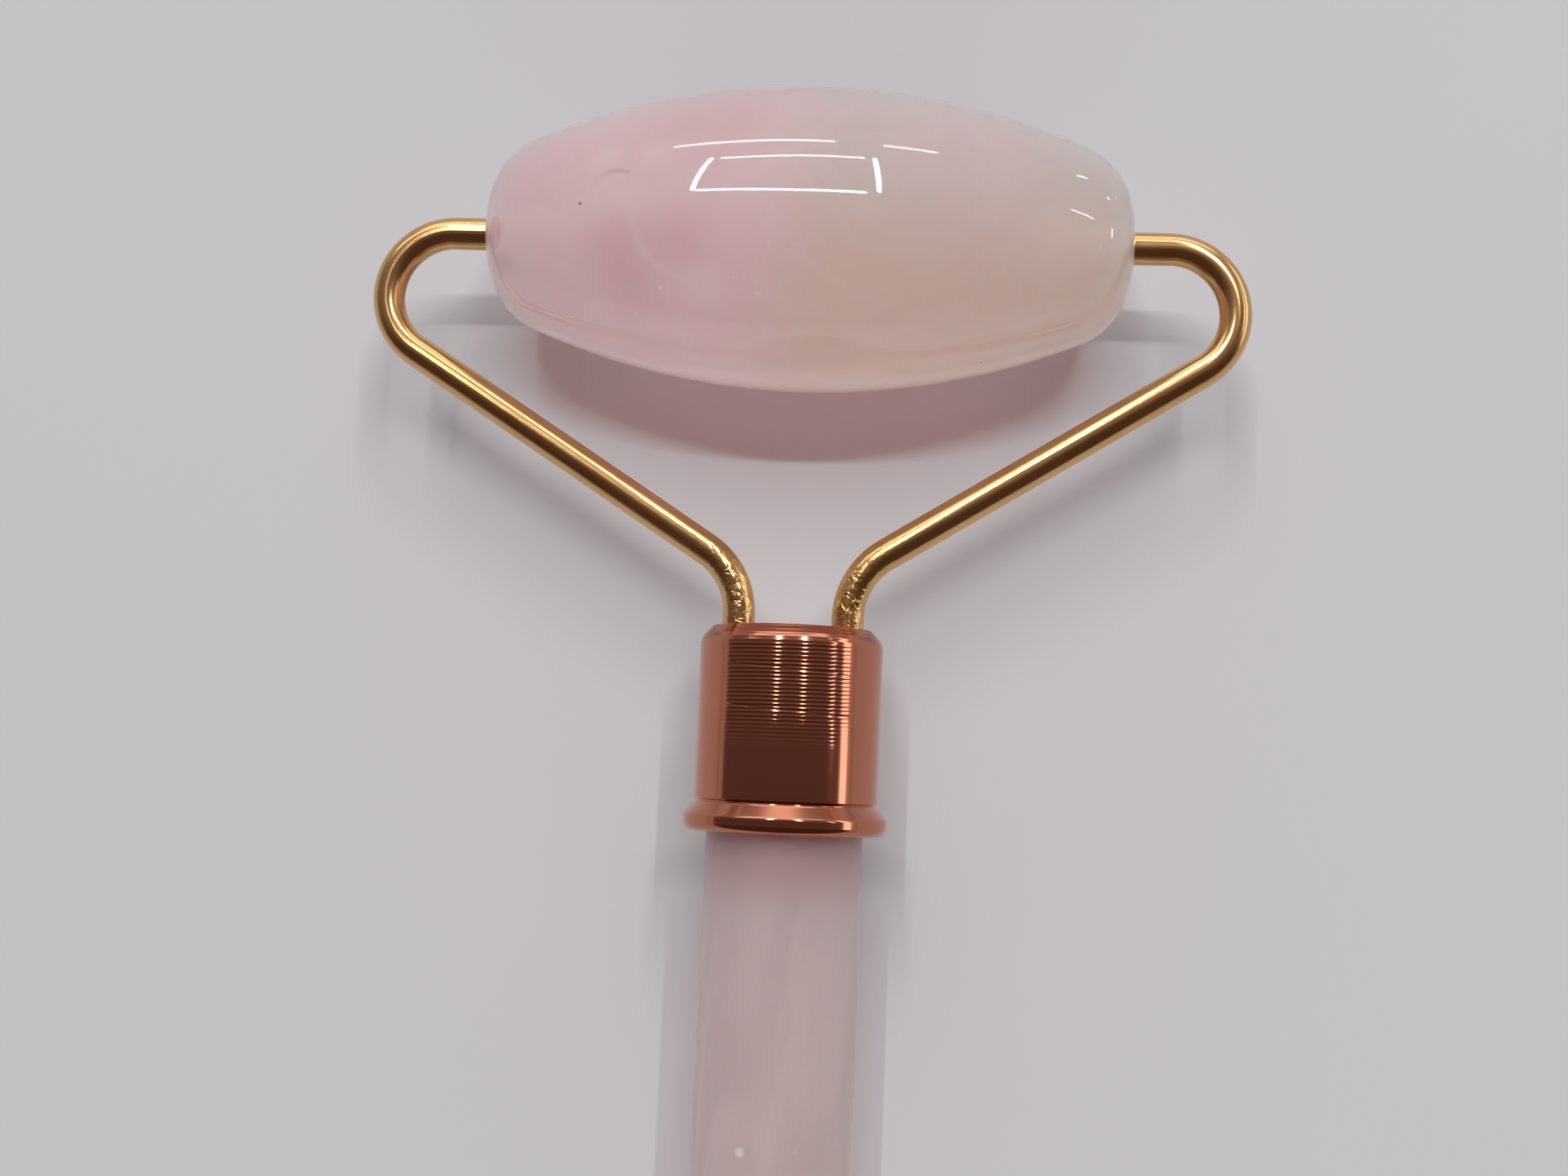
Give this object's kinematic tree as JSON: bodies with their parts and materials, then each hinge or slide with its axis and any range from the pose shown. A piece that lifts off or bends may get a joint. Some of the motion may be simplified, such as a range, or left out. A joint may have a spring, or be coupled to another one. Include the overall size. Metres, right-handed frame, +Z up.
{
  "type": "stone face roller",
  "caption": "Double-ended face massage roller: barrel stones turning on bent wire yokes, held by turned collars on a round stone handle.",
  "frame": {"origin": "on the table, under the middle of the part's length and width", "axes": "+Y along the handle towards the large roller, +X to the right seen from above, +Z up from the table"},
  "size_m": [0.0548, 0.1454, 0.0188],
  "materials": {
    "roller_stone": "polished translucent rose quartz",
    "handle_stone": "polished translucent rose quartz",
    "wire": "bright gold plate, drawn and bent",
    "collar": "turned and rose-gold anodised",
    "glue": "set clear adhesive",
    "bush": "natural white plastic sleeve"
  },
  "bodies": {
    "handle_assembly": {"handle": "handle_stone", "large_collar": "collar", "large_collar_glue": "glue", "large_arm_left": "wire", "large_arm_right": "wire", "small_collar": "collar", "small_collar_glue": "glue", "small_arm_left": "wire", "small_arm_right": "wire"},
    "large_roller_assembly": {"large_roller": "roller_stone", "large_bush_left": "bush", "large_bush_right": "bush"},
    "small_roller_assembly": {"small_roller": "roller_stone", "small_bush_left": "bush", "small_bush_right": "bush"}
  },
  "joints": [
    {"name": "large_roller_spin", "type": "hinge", "parent": "handle_assembly", "child": "large_roller_assembly", "pos_m": [0, 0.06334, 0.0094], "axis": [1, 0, 0], "continuous": true},
    {"name": "small_roller_spin", "type": "hinge", "parent": "handle_assembly", "child": "small_roller_assembly", "pos_m": [0, -0.06554, 0.0072], "axis": [1, 0, 0], "continuous": true}
  ]
}
